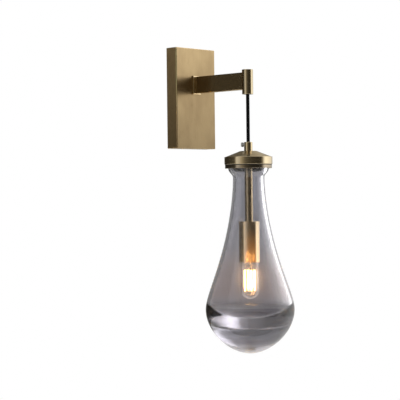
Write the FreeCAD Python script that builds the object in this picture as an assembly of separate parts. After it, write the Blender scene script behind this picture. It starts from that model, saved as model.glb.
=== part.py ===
import FreeCAD, Part
import math
import os

# Wall lamp with a teardrop glass that hangs from a short arm on a cord. All lengths are millimetres.
# The wall is the plane y = 0, the lamp stands out towards -y, and z is up.
# The origin is the middle of the back of the backplate.

# Backplate cover, a folded brass box open to the wall
plate_width = 80.0
plate_height = 146.0
plate_depth = 20.0
plate_wall = 1.5
plate_edge_round = 1.1

# Wall strap of bent steel inside the cover
strap_width = 24.0
strap_thick = 1.6
strap_ear_depth = 15.0
strap_bend_radius = 2.4
strap_gap = 0.3
slot_spacing = 88.0
slot_length = 12.0
slot_width = 4.5
cable_entry_radius = 6.0
cable_entry_height = 29.0

# Grub screws that hold the cover on the strap's ears
grub_radius = 2.0
grub_length = 5.6
grub_recess = 0.3
grub_socket_flats = 2.0
grub_socket_depth = 2.0
grub_out = 9.0

# Earth screw on the strap, for the house's earth wire
earth_screw_radius = 2.0
earth_head_radius = 3.5
earth_head_height = 2.4
earth_washer_radius = 4.2
earth_washer_thick = 1.0
earth_below_block = 5.5

# Terminal block with three poles
block_width = 27.0
block_height = 16.0
block_depth = 12.0
block_top = -12.0
pole_pitch = 8.5
pole_radius = 2.5
pole_wall = 0.8
pole_length = 12.0
block_peg_radius = 2.0
clamp_screw_radius = 1.3
clamp_well_radius = 2.0
clamp_screw_pitch = 6.0
clamp_screw_recess = 1.0

# Round cord and its three cores
cord_radius = 2.45
core_radius = 0.8
core_spread = 1.0
core_bend_radius = 3.0
core_entry = 6.5
cord_start_height = 6.0
cord_out_of_wall = 7.5
cord_back_bend = 8.0
cord_post_bend = 8.5

# Arm, a rectangular brass tube
arm_reach = 101.0
arm_width = 8.4
arm_height = 24.3
arm_wall = 1.2
arm_corner_round = 0.7
arm_centre_height = 19.5

# Collar round the arm's root
flange_width = 15.5
flange_height = 26.8
flange_thick = 2.4
flange_edge_round = 0.5

# Block in the arm's end, root plate and the screws that hold the arm
arm_block_length = 18.0
arm_block_cord_clearance = 0.4
root_plate_width = 30.0
root_plate_height = 40.0
root_plate_thick = 2.0
arm_screw_radius = 2.0
arm_screw_grip = 12.0
arm_screw_pitch = 16.0
arm_head_radius = 3.6
arm_head_height = 2.6
arm_washer_radius = 4.2
arm_washer_thick = 0.8

# Post at the arm's end
post_radius = 7.8
post_length = 34.8
post_wall = 1.2
post_below_arm = 19.0
post_edge_round = 0.4
plug_cap_thick = 1.2
plug_spigot = 3.0

# Bush at the post's mouth, the stop that carries the weight, and the point where the cord bends
bush_height = 6.7
bush_fit = 0.05
bush_swing_room = 0.35
bush_bell_radius = 3.0
pivot_above_mouth = 1.0
cord_stub_gap = 0.3
stop_radius = 4.2
stop_height = 3.3
flex_radius = 1.2
flex_clearance = 0.3

# Free cord between the post's mouth and the grip
cord_drop = 67.2

# Cord grip with its clear thumb screw
grip_radius = 5.9
grip_length = 12.6
grip_cord_clearance = 0.2
grip_thread_depth = 5.0
grip_edge_round = 0.4
thumb_below_top = 3.6
thumb_radius = 1.5
thumb_head_radius = 2.8
thumb_head_length = 4.2
thumb_clearance = 0.3
thumb_turn = 134.0
thumb_head_gap = 0.2
thumb_edge_round = 0.5

# Threads of the hollow nipples, with the play that is left round them
nipple_radius = 4.0
nipple_bore = 2.75
thread_play = 0.05

# Cap over the glass
cap_top_radius = 11.7
cap_cone_radius = 32.6
cap_cone_height = 8.2
cap_rim_radius = 33.8
cap_rim_height = 10.4
cap_wall = 1.5
cap_edge_round = 0.4
cap_washer_radius = 8.0
cap_washer_thick = 1.0
nut_flats = 13.0
nut_height = 4.0
cap_nipple_reach = 10.0

# Ferrule on the glass lip, bonded there, which screws into the cap
ferrule_radius = 33.0
ferrule_height = 4.6
ferrule_skirt_height = 7.0
ferrule_wall = 2.9
ferrule_edge_round = 0.3
cap_thread_clearance = 0.3
gasket_thick = 1.1
gasket_width = 1.0
bond_thick = 0.6
bond_inset = 1.0

# Glass drop
glass_radius = 62.5
glass_wall = 4.0
glass_neck_radius = 22.1
glass_lip_top = 2.0
glass_lip_drop = 0.2
glass_lip_wall = 5.0
glass_ledge_drop = 7.2
glass_ledge_width = 1.0
glass_ledge_height = 0.3
glass_neck_drop = 13.2
glass_flank_height = 185.0
glass_foot_height = 61.9
glass_floor_height = 33.9
glass_side_share = 0.8
glass_side_pull = 12.0
glass_floor_pull = 34.0
glass_lip_shares = (0.43, 0.43)
glass_flank_shares = (0.19, 0.25, 0.63, 0.14)
glass_foot_shares = (0.50, 0.48)

# Stem and socket cup
stem_radius = 5.65
stem_nipple_reach = 8.0
cup_radius = 14.7
cup_length = 57.5
cup_wall = 1.2
cup_edge_round = 0.6

# Lamp holder inside the cup
holder_gap = 0.4
holder_height = 40.0
holder_nipple_depth = 6.0
holder_chamber_radius = 8.5
holder_chamber_height = 9.0
holder_floor = 2.0
shell_wall = 0.4
shell_length = 19.5
shell_gap_top = 1.5
shell_tab_width = 3.0
shell_tab_rise = 1.0
contact_rivet_radius = 1.5
contact_radius = 3.0
contact_height = 2.0
contact_gap = 0.3
lead_bend_radius = 1.5
lead_start_gap = 3.0

# Bulb with its screw base, which hangs clear of the glass floor and sets the stem's length
bulb_floor_gap = 42.1
bulb_length = 85.0
bulb_radius = 12.45
bulb_glass_wall = 0.8
bulb_base_radius = 6.9
bulb_base_wall = 0.35
bulb_base_length = 18.0
bulb_thread_clearance = 0.3
bulb_contact_radius = 2.4
bulb_contact_height = 1.7
bulb_insulator_height = 3.0
bulb_insulator_depth = 3.0
bulb_insulator_top = 3.2
bulb_neck_depth = 7.0
bulb_shoulder_height = 10.0
bulb_shoulder_shares = (0.3, 0.5)
mount_length = 20.0
mount_foot_height = 5.0
mount_stem_radius = 2.2
filament_radius = 0.85
filament_length = 29.5
filament_circle = 7.0
filament_turn = 59.0
filament_count = 4
filament_top_gap = 8.5
frame_wire_radius = 0.3
frame_post_radius = 0.5
frame_tip_drop = 3.0

# Length by which a cutting tool runs past the face it cuts
overrun = 1.0

# Places that follow from the sizes
hang_y = -(plate_depth + arm_reach)
post_bottom = arm_centre_height - post_below_arm
post_top = post_bottom + post_length
post_bore = post_radius - post_wall
bush_top = post_bottom + bush_height
pivot_height = post_bottom + pivot_above_mouth
stub_end = pivot_height + cord_radius + cord_stub_gap
strap_ear_height = plate_height / 2 - plate_wall - strap_gap
block_bottom = block_top - block_height
block_front = -(strap_thick + block_depth)
plate_back_face = -(plate_depth - plate_wall)
root_plate_back = plate_back_face + root_plate_thick
arm_washer_back = root_plate_back + arm_washer_thick
grip_top = post_bottom - cord_drop
grip_bottom = grip_top - grip_length
cap_rim_top = grip_bottom - cap_cone_height
cap_rim_bottom = cap_rim_top - cap_rim_height
cap_inner_radius = cap_rim_radius - cap_wall
washer_bottom = grip_bottom - cap_wall - cap_washer_thick
stem_top = washer_bottom - nut_height
ferrule_top = cap_rim_bottom - gasket_thick
ferrule_bottom = ferrule_top - ferrule_height
ferrule_skirt_radius = cap_inner_radius - cap_thread_clearance
ferrule_skirt_top = ferrule_top + ferrule_skirt_height
ferrule_bore = ferrule_skirt_radius - ferrule_wall
glass_lip_radius = ferrule_bore - bond_thick
glass_top = ferrule_skirt_top - glass_lip_top
glass_lip_bottom = ferrule_bottom - glass_lip_drop
glass_bore = glass_lip_radius - glass_lip_wall
glass_ledge = glass_lip_bottom - glass_ledge_drop
glass_neck = glass_lip_bottom - glass_neck_drop
glass_wide = glass_neck - glass_flank_height
glass_bottom = glass_wide - glass_foot_height
glass_floor = glass_bottom + glass_floor_height
bulb_bottom = glass_floor + bulb_floor_gap
bulb_top = bulb_bottom + bulb_length
holder_deck = bulb_top + contact_gap + contact_height
chamber_bottom = holder_deck + holder_floor
chamber_top = chamber_bottom + holder_chamber_height
holder_top = chamber_top + holder_nipple_depth
holder_bottom = holder_top - holder_height
stem_bottom = holder_top + nut_height + cup_wall
cup_bottom = stem_bottom - cup_length
cup_bore = cup_radius - cup_wall
shell_bore = bulb_base_radius + bulb_thread_clearance
shell_radius = shell_bore + shell_wall
shell_top = holder_deck - shell_gap_top
base_top = bulb_top - bulb_contact_height - bulb_insulator_height
base_bottom = base_top - bulb_base_length
base_bore = bulb_base_radius - bulb_base_wall
bulb_neck_top = base_bottom + bulb_neck_depth
bulb_shoulder_bottom = base_bottom - bulb_shoulder_height
bulb_dome_centre = bulb_bottom + bulb_radius
mount_bottom = bulb_neck_top - mount_length
filament_top = mount_bottom - filament_top_gap
filament_bottom = filament_top - filament_length


def vec(x, y, z):
    return FreeCAD.Vector(x, y, z)


def block(x0, x1, y0, y1, z0, z1):
    return Part.makeBox(x1 - x0, y1 - y0, z1 - z0, vec(x0, y0, z0))


def rod(x, y, low, high, radius):
    return Part.makeCylinder(radius, high - low, vec(x, y, low), vec(0, 0, 1))


def pin(x, z, back, front, radius):
    return Part.makeCylinder(radius, back - front, vec(x, back, z), vec(0, -1, 0))


def hex_rod(x, y, low, high, flats):
    corner = flats / math.sqrt(3)
    turns = [math.radians(60 * k) for k in range(7)]
    ring = [vec(x + corner * math.cos(t), y + corner * math.sin(t), low) for t in turns]
    return Part.Face(Part.makePolygon(ring)).extrude(vec(0, 0, high - low))


def bent_edges(points, radii, closed=False):
    # Straight runs joined by tangent arcs, one radius for each corner
    count = len(points)
    ends = []
    for i in range(count):
        inner = closed or 0 < i < count - 1
        radius = radii[i] if inner else 0
        if radius == 0:
            ends.append((points[i], None, points[i]))
            continue
        before = (points[i - 1] - points[i]).normalize()
        after = (points[(i + 1) % count] - points[i]).normalize()
        half = before.getAngle(after) / 2
        reach = radius / math.tan(half)
        middle = (before + after).normalize()
        centre = points[i] + middle * (radius / math.sin(half))
        ends.append((points[i] + before * reach, centre - middle * radius, points[i] + after * reach))
    edges = []
    for i in range(count):
        start, bulge, end = ends[i]
        if bulge is not None:
            edges.append(Part.Arc(start, bulge, end).toShape())
        if i < count - 1 or closed:
            edges.append(Part.LineSegment(end, ends[(i + 1) % count][0]).toShape())
    return edges


def tube_along(points, radii, radius):
    path = Part.Wire(bent_edges(points, radii))
    section = Part.Wire(Part.Circle(points[0], points[1] - points[0], radius).toShape())
    return path.makePipeShell([section], True, False)


def spun(edges):
    # Turns an outline in the x-z plane round the hanging axis
    solid = Part.Face(Part.Wire(edges)).revolve(vec(0, 0, 0), vec(0, 0, 1), 360)
    solid.translate(vec(0, hang_y, 0))
    return solid


def turned(outline):
    # A lathe piece from its corners, each (radius, height) or (radius, height, rounding)
    points = [vec(corner[0], 0, corner[1]) for corner in outline]
    radii = [corner[2] if len(corner) > 2 else 0 for corner in outline]
    return spun(bent_edges(points, radii, closed=True))


def sleeve(low, high, inner, outer):
    return turned(((inner, low), (outer, low), (outer, high), (inner, high)))


def drawn(handles, end_share=1.0):
    # A smooth curve drawn from handle points in the x-z plane, down to a share of its run
    curve = Part.BezierCurve()
    curve.setPoles([vec(radius, 0, height) for radius, height in handles])
    if end_share < 1:
        curve.segment(0, end_share)
    return curve.toShape()


def line(start, end):
    return Part.LineSegment(vec(start[0], 0, start[1]), vec(end[0], 0, end[1])).toShape()


def edges_where(shape, test):
    return [edge for edge in shape.Edges if test(edge.CenterOfMass, edge)]


def wall_strap():
    half = strap_width / 2
    ear = strap_ear_height
    strap = block(-half, half, -strap_thick, 0, -ear, ear)
    for side in (-1, 1):
        low, high = sorted((side * ear, side * (ear - strap_thick)))
        strap = strap.fuse(block(-half, half, -strap_ear_depth, 0, low, high))
    strap = strap.removeSplitter()
    corners = edges_where(strap, lambda c, e: abs(c.y) < 1e-6 and abs(abs(c.z) - ear) < 1e-6)
    strap = strap.makeFillet(strap_bend_radius, corners)
    flat = slot_length / 2 - slot_width / 2
    for side in (-1, 1):
        middle = side * slot_spacing / 2
        slot = block(-slot_width / 2, slot_width / 2, -strap_thick - overrun, overrun, middle - flat, middle + flat)
        for end in (middle - flat, middle + flat):
            slot = slot.fuse(pin(0, end, overrun, -strap_thick - overrun, slot_width / 2))
        strap = strap.cut(slot)
        low, high = sorted((side * (ear + overrun), side * (ear - strap_thick - overrun)))
        strap = strap.cut(rod(0, -grub_out, low, high, grub_radius + thread_play))
    strap = strap.cut(pin(0, cable_entry_height, overrun, -strap_thick - overrun, cable_entry_radius))
    strap = strap.cut(pin(0, (block_top + block_bottom) / 2, overrun, -strap_thick - overrun, block_peg_radius))
    earth = pin(0, block_bottom - earth_below_block, overrun, -strap_thick - overrun, earth_screw_radius + thread_play)
    return strap.cut(earth)


def cover_screws():
    screws = []
    top = plate_height / 2 - grub_recess
    for side in (-1, 1):
        low, high = sorted((side * top, side * (top - grub_length)))
        screw = rod(0, -grub_out, low, high, grub_radius)
        low, high = sorted((side * (top + overrun), side * (top - grub_socket_depth)))
        screws.append(screw.cut(hex_rod(0, -grub_out, low, high, grub_socket_flats)))
    return Part.makeCompound(screws)


def backplate_cover():
    half_w = plate_width / 2
    half_h = plate_height / 2
    cover = block(-half_w, half_w, -plate_depth, 0, -half_h, half_h)
    front = edges_where(cover, lambda c, e: c.y < -plate_depth / 2 - 1e-6)
    long_edges = edges_where(cover, lambda c, e: abs(c.y + plate_depth / 2) < 1e-6)
    cover = cover.makeFillet(plate_edge_round, front + long_edges)
    inside_w = half_w - plate_wall
    inside_h = half_h - plate_wall
    cover = cover.cut(block(-inside_w, inside_w, plate_back_face, overrun, -inside_h, inside_h))
    for side in (-1, 1):
        low, high = sorted((side * (half_h + overrun), side * (inside_h - overrun)))
        cover = cover.cut(rod(0, -grub_out, low, high, grub_radius + thread_play))
    return cut_root_holes(cover)


def cut_root_holes(plate):
    # The cord's hole and the two screw holes at the arm's root
    tools = [pin(0, arm_centre_height, 0, hang_y, cord_radius + arm_block_cord_clearance)]
    for side in (-1, 1):
        height = arm_centre_height + side * arm_screw_pitch / 2
        tools.append(pin(0, height, 0, hang_y, arm_screw_radius + thread_play))
    for tool in tools:
        plate = plate.cut(tool)
    return plate


def earth_screw():
    height = block_bottom - earth_below_block
    washer = -strap_thick - earth_washer_thick
    head = washer - earth_head_height
    screw = pin(0, height, 0, washer, earth_screw_radius)
    screw = screw.fuse(pin(0, height, -strap_thick, washer, earth_washer_radius))
    screw = screw.fuse(pin(0, height, washer, head, earth_head_radius)).removeSplitter()
    half_slot = earth_screw_radius / 4
    reach = earth_head_radius + overrun
    slot = block(-reach, reach, head - overrun, head + earth_head_height / 2, height - half_slot, height + half_slot)
    return screw.cut(slot)


def pole_places():
    return [side * pole_pitch for side in (-1, 0, 1)]


def clamp_heights():
    middle = (block_top + block_bottom) / 2
    return [middle - clamp_screw_pitch / 2, middle + clamp_screw_pitch / 2]


def terminal_block():
    half = block_width / 2
    body = block(-half, half, block_front, -strap_thick, block_bottom, block_top)
    middle = (block_top + block_bottom) / 2
    body = body.fuse(pin(0, middle, 0, -strap_thick, block_peg_radius)).removeSplitter()
    for x in pole_places():
        body = body.cut(rod(x, -cord_out_of_wall, block_bottom - overrun, block_top + overrun, pole_radius))
        for height in clamp_heights():
            body = body.cut(pin(x, height, -cord_out_of_wall, block_front - overrun, clamp_well_radius))
    return body


def terminal_inserts():
    middle = (block_top + block_bottom) / 2
    low = middle - pole_length / 2
    inserts = []
    for x in pole_places():
        tube = rod(x, -cord_out_of_wall, low, low + pole_length, pole_radius)
        tube = tube.cut(rod(x, -cord_out_of_wall, low, low + pole_length, pole_radius - pole_wall))
        for height in clamp_heights():
            tube = tube.cut(pin(x, height, -cord_out_of_wall, block_front, clamp_screw_radius + thread_play))
        inserts.append(tube)
    return Part.makeCompound(inserts)


def terminal_screws():
    screws = []
    for x in pole_places():
        for height in clamp_heights():
            front = block_front + clamp_screw_recess
            screw = pin(x, height, -cord_out_of_wall - core_radius, front, clamp_screw_radius)
            half_slot = clamp_screw_radius / 5
            reach = clamp_screw_radius + overrun
            slot = block(x - reach, x + reach, front - overrun, front + half_slot * 3, height - half_slot,
                         height + half_slot)
            screws.append(screw.cut(slot))
    return Part.makeCompound(screws)


def core(pole, start_x, start_out):
    # One core from the end of the cord's sheath down into its pole
    x = pole * pole_pitch
    run = core_bend_radius
    middle = (cord_start_height + block_top) / 2
    points = [
        vec(start_x, start_out, cord_start_height),
        vec(start_x, start_out, middle + run),
        vec(x, -cord_out_of_wall, middle - run),
        vec(x, -cord_out_of_wall, block_top - core_entry),
    ]
    return tube_along(points, (0, core_bend_radius, core_bend_radius, 0), core_radius)


def core_live():
    return core(-1, -core_spread, -cord_out_of_wall + core_spread / 2)


def core_neutral():
    return core(1, core_spread, -cord_out_of_wall + core_spread / 2)


def core_earth():
    return core(0, 0, -cord_out_of_wall - core_spread * 1.2)


def root_plate():
    half = root_plate_width / 2
    middle = arm_centre_height
    low = middle - root_plate_height / 2
    high = middle + root_plate_height / 2
    return cut_root_holes(block(-half, half, plate_back_face, root_plate_back, low, high))


def arm_screws():
    screws = []
    for side in (-1, 1):
        height = arm_centre_height + side * arm_screw_pitch / 2
        tip = -plate_depth - arm_screw_grip
        head_back = arm_washer_back + arm_head_height
        screw = pin(0, height, head_back, arm_washer_back, arm_head_radius)
        screw = screw.fuse(pin(0, height, arm_washer_back, tip, arm_screw_radius)).removeSplitter()
        half_slot = arm_screw_radius / 5
        reach = arm_screw_radius
        for wide, tall in ((reach, half_slot), (half_slot, reach)):
            slot = block(-wide, wide, head_back - arm_head_height / 2, head_back + overrun, height - tall, height + tall)
            screw = screw.cut(slot)
        screws.append(screw)
    return Part.makeCompound(screws)


def arm_washers():
    washers = []
    for side in (-1, 1):
        height = arm_centre_height + side * arm_screw_pitch / 2
        washer = pin(0, height, arm_washer_back, root_plate_back, arm_washer_radius)
        washers.append(washer.cut(pin(0, height, arm_washer_back, root_plate_back, arm_screw_radius + thread_play)))
    return Part.makeCompound(washers)


def arm_outer():
    half_w = arm_width / 2
    half_h = arm_height / 2
    bar = block(-half_w, half_w, hang_y, -plate_depth, arm_centre_height - half_h, arm_centre_height + half_h)
    long_edges = edges_where(bar, lambda c, e: abs(c.y - (hang_y - plate_depth) / 2) < 1e-6)
    return bar.makeFillet(arm_corner_round, long_edges)


def arm_inner(front, back):
    half_w = arm_width / 2 - arm_wall
    half_h = arm_height / 2 - arm_wall
    return block(-half_w, half_w, front, back, arm_centre_height - half_h, arm_centre_height + half_h)


def arm_flange():
    half_w = flange_width / 2
    half_h = flange_height / 2
    front = -plate_depth - flange_thick
    plate = block(-half_w, half_w, front, -plate_depth, arm_centre_height - half_h, arm_centre_height + half_h)
    rim = edges_where(plate, lambda c, e: c.y < front + 1e-6)
    plate = plate.makeFillet(flange_edge_round, rim)
    return plate.cut(arm_outer())


def arm_block():
    return cut_root_holes(arm_inner(-plate_depth - arm_block_length, -plate_depth))


def arm_tube():
    tube = arm_outer().cut(arm_inner(hang_y, -plate_depth))
    return tube.cut(rod(0, hang_y, post_bottom, post_top, post_radius))


def post_tube():
    tube = sleeve(post_bottom, post_top - plug_cap_thick, post_bore, post_radius)
    low_rim = edges_where(tube, lambda c, e: abs(c.z - post_bottom) < 1e-6 and e.Length > 2 * math.pi * post_bore + overrun)
    tube = tube.makeFillet(post_edge_round, low_rim)
    return tube.cut(arm_inner(hang_y, hang_y + post_radius + overrun))


def post_plug():
    seat = post_top - plug_cap_thick
    spigot = post_bore - bush_fit
    return turned((
        (0, seat - plug_spigot), (spigot, seat - plug_spigot), (spigot, seat), (post_radius, seat),
        (post_radius, post_top, post_edge_round), (0, post_top),
    ))


def cord_bush():
    outer = post_bore - bush_fit
    tight = cord_radius + bush_fit
    loose = cord_radius + bush_swing_room
    bell = loose + bush_bell_radius
    bell_top = post_bottom + bush_bell_radius
    centre = vec(bell, 0, bell_top)
    slant = bush_bell_radius * math.sqrt(0.5)
    bulge = centre + vec(-slant, 0, -slant)
    edges = [
        line((bell, post_bottom), (outer, post_bottom)),
        line((outer, post_bottom), (outer, bush_top)),
        line((outer, bush_top), (tight, bush_top)),
        line((tight, bush_top), (tight, stub_end)),
        line((tight, stub_end), (loose, stub_end)),
        line((loose, stub_end), (loose, bell_top)),
        Part.Arc(vec(loose, 0, bell_top), bulge, vec(bell, 0, post_bottom)).toShape(),
    ]
    return spun(edges)


def cord_stop():
    return sleeve(bush_top, bush_top + stop_height, cord_radius, stop_radius)


def arm_cord():
    # The cord's held length, from the terminal block through the arm and down the post
    points = [
        vec(0, -cord_out_of_wall, cord_start_height),
        vec(0, -cord_out_of_wall, arm_centre_height),
        vec(0, hang_y, arm_centre_height),
        vec(0, hang_y, stub_end),
    ]
    return tube_along(points, (0, cord_back_bend, cord_post_bend, 0), cord_radius)


def cord_flex():
    return Part.makeSphere(flex_radius, vec(0, hang_y, pivot_height))


def hanging_cord():
    cord = rod(0, hang_y, grip_top, pivot_height, cord_radius)
    return cord.cut(Part.makeSphere(flex_radius + flex_clearance, vec(0, hang_y, pivot_height)))


def thumb_way():
    turn = math.radians(thumb_turn)
    return vec(math.cos(turn), math.sin(turn), 0)


def cord_grip():
    bore = cord_radius + grip_cord_clearance
    thread = nipple_radius + thread_play
    seat = grip_bottom + grip_thread_depth
    grip = turned((
        (thread, grip_bottom), (grip_radius, grip_bottom), (grip_radius, grip_top, grip_edge_round),
        (bore, grip_top), (bore, seat), (thread, seat),
    ))
    start = vec(0, hang_y, grip_top - thumb_below_top)
    return grip.cut(Part.makeCylinder(thumb_radius + thumb_clearance, grip_radius + overrun, start, thumb_way()))


def grip_screw():
    way = thumb_way()
    middle = vec(0, hang_y, grip_top - thumb_below_top)
    shank_end = cord_radius + thumb_head_gap
    head_start = grip_radius + thumb_head_gap
    shank = Part.makeCylinder(thumb_radius, head_start - shank_end, middle + way * shank_end, way)
    head = Part.makeCylinder(thumb_head_radius, thumb_head_length, middle + way * head_start, way)
    far = middle + way * (head_start + thumb_head_length)
    rim = edges_where(head, lambda c, e: c.distanceToPoint(far) < thumb_radius / 10)
    head = head.makeFillet(thumb_edge_round, rim)
    return head.fuse(shank).removeSplitter()


def stem_cord():
    return rod(0, hang_y, chamber_top - lead_start_gap, grip_top, cord_radius)


def cap_nipple():
    top = grip_bottom + grip_thread_depth
    return sleeve(stem_top - cap_nipple_reach, top, nipple_bore, nipple_radius)


def cap():
    hole = nipple_radius + thread_play
    slope = (cap_cone_radius - cap_top_radius) / cap_cone_height
    inner_top = grip_bottom - cap_wall
    inner_cone_end = cap_rim_top - cap_wall - (cap_cone_radius - cap_inner_radius) / slope
    return turned((
        (hole, grip_bottom), (cap_top_radius, grip_bottom, cap_edge_round), (cap_cone_radius, cap_rim_top),
        (cap_rim_radius, cap_rim_top, cap_edge_round), (cap_rim_radius, cap_rim_bottom, cap_edge_round),
        (cap_inner_radius, cap_rim_bottom), (cap_inner_radius, inner_cone_end), (cap_top_radius, inner_top),
        (hole, inner_top),
    ))


def cap_washer():
    top = grip_bottom - cap_wall
    return sleeve(washer_bottom, top, nipple_radius + thread_play, cap_washer_radius)


def nut(top):
    hexagon = hex_rod(0, hang_y, top - nut_height, top, nut_flats)
    return hexagon.cut(rod(0, hang_y, top - nut_height, top, nipple_radius + thread_play))


def cap_nut():
    return nut(washer_bottom)


def cup_nut():
    return nut(stem_bottom - cup_wall)


def stem_tube():
    return sleeve(stem_bottom, stem_top, nipple_radius + thread_play, stem_radius)


def stem_nipple():
    return sleeve(chamber_top, stem_bottom + stem_nipple_reach, nipple_bore, nipple_radius)


def socket_cup():
    hole = nipple_radius + thread_play
    return turned((
        (hole, stem_bottom), (cup_radius, stem_bottom, cup_edge_round), (cup_radius, cup_bottom),
        (cup_bore, cup_bottom), (cup_bore, stem_bottom - cup_wall), (hole, stem_bottom - cup_wall),
    ))


def shell_tab(play):
    # The strip that joins the holder's threaded shell to its lead
    half = shell_tab_width / 2 + play
    outer = shell_radius + play
    top = chamber_bottom + shell_tab_rise
    tab = block(shell_bore - play, outer, hang_y - half, hang_y + half, shell_top, top)
    return tab


def lamp_holder():
    outer = cup_bore - holder_gap
    hole = nipple_radius + thread_play
    body = turned((
        (hole, holder_top), (outer, holder_top), (outer, holder_bottom), (shell_radius, holder_bottom),
        (shell_radius, holder_deck), (0, holder_deck), (0, chamber_bottom),
        (holder_chamber_radius, chamber_bottom), (holder_chamber_radius, chamber_top), (hole, chamber_top),
    ))
    body = body.cut(rod(0, hang_y, holder_deck, chamber_bottom, contact_rivet_radius))
    return body.cut(shell_tab(thread_play))


def holder_shell():
    shell = sleeve(shell_top - shell_length, shell_top, shell_bore, shell_radius)
    return shell.fuse(shell_tab(0)).removeSplitter()


def centre_contact():
    low = holder_deck - contact_height
    return turned((
        (0, low), (contact_radius, low), (contact_radius, holder_deck), (contact_rivet_radius, holder_deck),
        (contact_rivet_radius, chamber_bottom), (0, chamber_bottom),
    ))


def holder_leads():
    start = chamber_top - lead_start_gap
    live = rod(-core_spread, hang_y, chamber_bottom, start, core_radius)
    far = shell_bore - core_radius
    middle = (start + chamber_bottom) / 2
    run = lead_bend_radius / 2
    points = [
        vec(core_spread, hang_y, start),
        vec(core_spread, hang_y, middle + run),
        vec(far, hang_y, middle - run),
        vec(far, hang_y, chamber_bottom),
    ]
    return Part.makeCompound([live, tube_along(points, (0, lead_bend_radius, lead_bend_radius, 0), core_radius)])


def glass_ferrule():
    return turned((
        (ferrule_bore, ferrule_bottom), (ferrule_radius, ferrule_bottom, ferrule_edge_round),
        (ferrule_radius, ferrule_top), (ferrule_skirt_radius, ferrule_top),
        (ferrule_skirt_radius, ferrule_skirt_top), (ferrule_bore, ferrule_skirt_top),
    ))


def rim_gasket():
    return sleeve(ferrule_top, cap_rim_bottom, ferrule_skirt_radius, ferrule_skirt_radius + gasket_width)


def glass_bond():
    low = ferrule_bottom + bond_inset
    return sleeve(low, glass_top - bond_inset, glass_lip_radius, ferrule_bore)


def glass_flank(inset, end_share=1.0):
    # The long side of the drop, from the neck to the widest place, moved inwards by the inset
    neck = glass_neck_radius - inset
    wide = glass_radius - inset
    start, out, drop, end = glass_flank_shares
    return drawn((
        (neck, glass_neck), (neck, glass_neck - start * glass_flank_height),
        (neck + out * (wide - neck), glass_neck - drop * glass_flank_height),
        (wide, glass_wide + end * glass_flank_height), (wide, glass_wide),
    ), end_share)


def glass_outside():
    start, end = glass_lip_shares
    lip = drawn((
        (glass_lip_radius, glass_lip_bottom), (glass_lip_radius, glass_lip_bottom - start * glass_neck_drop),
        (glass_neck_radius, glass_neck + end * glass_neck_drop), (glass_neck_radius, glass_neck),
    ))
    start, end = glass_foot_shares
    foot = drawn((
        (glass_radius, glass_wide), (glass_radius, glass_wide - start * glass_foot_height),
        (end * glass_radius, glass_bottom), (0, glass_bottom),
    ))
    return spun([
        line((0, glass_top), (glass_lip_radius, glass_top)),
        line((glass_lip_radius, glass_top), (glass_lip_radius, glass_lip_bottom)),
        lip, glass_flank(0), foot,
        line((0, glass_bottom), (0, glass_top)),
    ])


def glass_inside():
    # The cavity, with a flared mouth, a narrow ledge in the neck and a deep round bowl for its floor
    neck = glass_neck_radius - glass_wall
    shelf = neck + glass_ledge_width
    ledge_low = glass_ledge - glass_ledge_height
    mouth = glass_top + overrun
    start, end = glass_lip_shares
    flare = drawn((
        (glass_bore, glass_lip_bottom), (glass_bore, glass_lip_bottom - start * glass_ledge_drop),
        (shelf, glass_ledge + end * glass_ledge_drop), (shelf, glass_ledge),
    ))
    side = glass_flank(glass_wall, glass_side_share)
    edge = side.valueAt(side.LastParameter)
    way = side.tangentAt(side.LastParameter)
    down = way * (-glass_side_pull / way.z)
    bowl = drawn((
        (edge.x, edge.z), (edge.x + down.x, edge.z + down.z), (edge.x + 2 * down.x, edge.z + 2 * down.z),
        (glass_floor_pull, glass_floor), (0, glass_floor),
    ))
    return spun([
        line((0, mouth), (glass_bore, mouth)),
        line((glass_bore, mouth), (glass_bore, glass_lip_bottom)),
        flare,
        line((shelf, glass_ledge), (neck, ledge_low)),
        line((neck, ledge_low), (neck, glass_neck)),
        side,
        bowl,
        line((0, glass_floor), (0, mouth)),
    ])


def glass_drop():
    return glass_outside().cut(glass_inside())


def bulb_contact():
    low = bulb_top - bulb_contact_height
    return turned(((0, low), (bulb_contact_radius, low), (bulb_contact_radius, bulb_top, bulb_contact_height / 2),
                   (0, bulb_top)))


def bulb_insulator():
    top = bulb_top - bulb_contact_height
    low = base_top - bulb_insulator_depth
    return turned(((0, low), (base_bore, low), (base_bore, base_top), (bulb_insulator_top, top), (0, top)))


def bulb_base():
    return sleeve(base_bottom, base_top, base_bore, bulb_base_radius)


def bulb_outline(inset):
    # The bulb's glass from its neck to the axis, a tube with a shoulder and a round end
    neck = base_bore - inset
    wide = bulb_radius - inset
    start, end = bulb_shoulder_shares
    shoulder = drawn((
        (neck, base_bottom), (neck, base_bottom - start * bulb_shoulder_height),
        (wide, bulb_shoulder_bottom + end * bulb_shoulder_height), (wide, bulb_shoulder_bottom),
    ))
    slant = wide * math.sqrt(0.5)
    bulge = vec(slant, 0, bulb_dome_centre - slant)
    end = vec(0, 0, bulb_dome_centre - wide)
    return [
        line((neck, bulb_neck_top), (neck, base_bottom)),
        shoulder,
        line((wide, bulb_shoulder_bottom), (wide, bulb_dome_centre)),
        Part.Arc(vec(wide, 0, bulb_dome_centre), bulge, end).toShape(),
    ]


def bulb_envelope():
    solids = []
    for inset in (0, bulb_glass_wall):
        neck = base_bore - inset
        low = bulb_dome_centre - bulb_radius + inset
        closing = [line((0, low), (0, bulb_neck_top)), line((0, bulb_neck_top), (neck, bulb_neck_top))]
        solids.append(spun(bulb_outline(inset) + closing))
    return solids[0].cut(solids[1])


def filament_mount():
    foot = base_bore - bulb_glass_wall
    shelf = bulb_neck_top - mount_foot_height
    return turned((
        (0, bulb_neck_top), (foot, bulb_neck_top), (foot, shelf), (mount_stem_radius, shelf - mount_foot_height),
        (mount_stem_radius, mount_bottom), (0, mount_bottom),
    ))


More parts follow.
